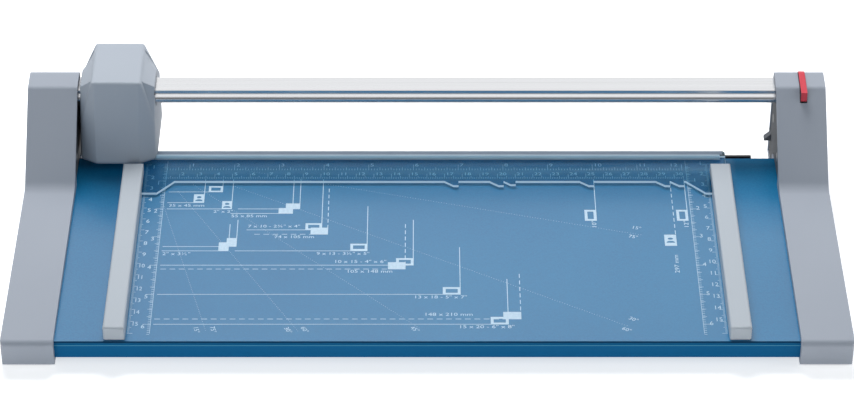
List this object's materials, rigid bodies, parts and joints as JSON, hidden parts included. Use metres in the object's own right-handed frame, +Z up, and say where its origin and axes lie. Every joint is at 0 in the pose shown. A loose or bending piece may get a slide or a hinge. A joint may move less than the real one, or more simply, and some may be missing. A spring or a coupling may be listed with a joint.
{
  "type": "rotary paper trimmer",
  "caption": "Blue steel table between two grey end caps, with a clear paper clamp, a cutting bar, and a faceted head with a round blade that slides along a rail.",
  "frame": {"origin": "middle of the footprint, on the surface that the feet stand on", "axes": "+X along the cut, from the head's rest to the release key; +Y from the front edge to the rail; +Z up"},
  "size_m": [0.4508, 0.2094, 0.0664],
  "materials": {
    "table": "blue powder coat with a fine orange peel",
    "cap": "fine moulded grain",
    "inner_plate": "fine moulded grain",
    "stop": "smooth",
    "head": "fine moulded grain",
    "dark_plastic": "smooth",
    "key": "smooth",
    "strip": "clear, polished",
    "bush": "natural acetal",
    "rubber": "matt",
    "rail": "satin anodised",
    "bar": "blackened, ground on its edge",
    "blade": "ground",
    "steel": "zinc plated",
    "brass": "turned"
  },
  "bodies": {
    "base": {"table_plate": "table", "left_end_cap": "cap", "right_end_cap": "cap", "left_inner_plate": "inner_plate", "right_inner_plate": "inner_plate", "plate_screws": "steel", "table_screws": "steel", "feet": "rubber", "guide_rail": "rail", "left_rail_plug": "dark_plastic", "right_rail_plug": "dark_plastic", "rail_screw": "steel", "latch_pin": "steel", "latch_spring": "steel", "cutting_bar": "bar", "bar_screws": "steel", "left_stop": "stop", "right_stop": "stop", "stop_screws": "steel", "left_spring_cup": "dark_plastic", "right_spring_cup": "dark_plastic", "left_clamp_spring": "steel", "right_clamp_spring": "steel"},
    "head": {"head_cover": "head", "head_back": "head", "head_screws": "steel", "head_carrier": "dark_plastic", "left_liner": "bush", "right_liner": "bush", "blade_axle": "steel", "axle_nut": "steel", "blade_spring": "steel", "roller_pins": "steel"},
    "blade": {"blade": "blade", "blade_hub": "brass"},
    "left_roller": {"left_roller": "rubber"},
    "right_roller": {"right_roller": "rubber"},
    "clamp": {"clamp_strip": "strip"},
    "latch": {"rail_latch": "key"}
  },
  "joints": [
    {"name": "head_slide", "type": "slide", "parent": "base", "child": "head", "axis": [1, 0, 0], "range_m": [0, 0.35]},
    {"name": "blade_spin", "type": "hinge", "parent": "head", "child": "blade", "pos_m": [-0.175, 0.0676, 0.0255], "axis": [0, 1, 0], "continuous": true},
    {"name": "left_roller_spin", "type": "hinge", "parent": "head", "child": "left_roller", "pos_m": [-0.188, 0.0639, 0.02096], "axis": [0, 1, 0], "continuous": true},
    {"name": "right_roller_spin", "type": "hinge", "parent": "head", "child": "right_roller", "pos_m": [-0.162, 0.0639, 0.02096], "axis": [0, 1, 0], "continuous": true},
    {"name": "clamp_press", "type": "slide", "parent": "base", "child": "clamp", "axis": [0, 0, -1], "range_m": [0, 0.00068], "stiffness_N_per_m": 500, "springref_m": -0.002, "deforming": ["left_clamp_spring", "right_clamp_spring"]},
    {"name": "latch_press", "type": "hinge", "parent": "base", "child": "latch", "pos_m": [0.2127, 0.084, 0.0533], "axis": [1, 0, 0], "range_deg": [0, 12], "stiffness_Nm_per_rad": 0.05, "springref_deg": -11.46, "deforming": ["latch_spring"]}
  ],
  "couplings": [
    {"joint": "blade_spin", "follows": "head_slide", "rad_per_m": 79.7},
    {"joint": "left_roller_spin", "follows": "head_slide", "rad_per_m": 285.7},
    {"joint": "right_roller_spin", "follows": "head_slide", "rad_per_m": 285.7}
  ]
}
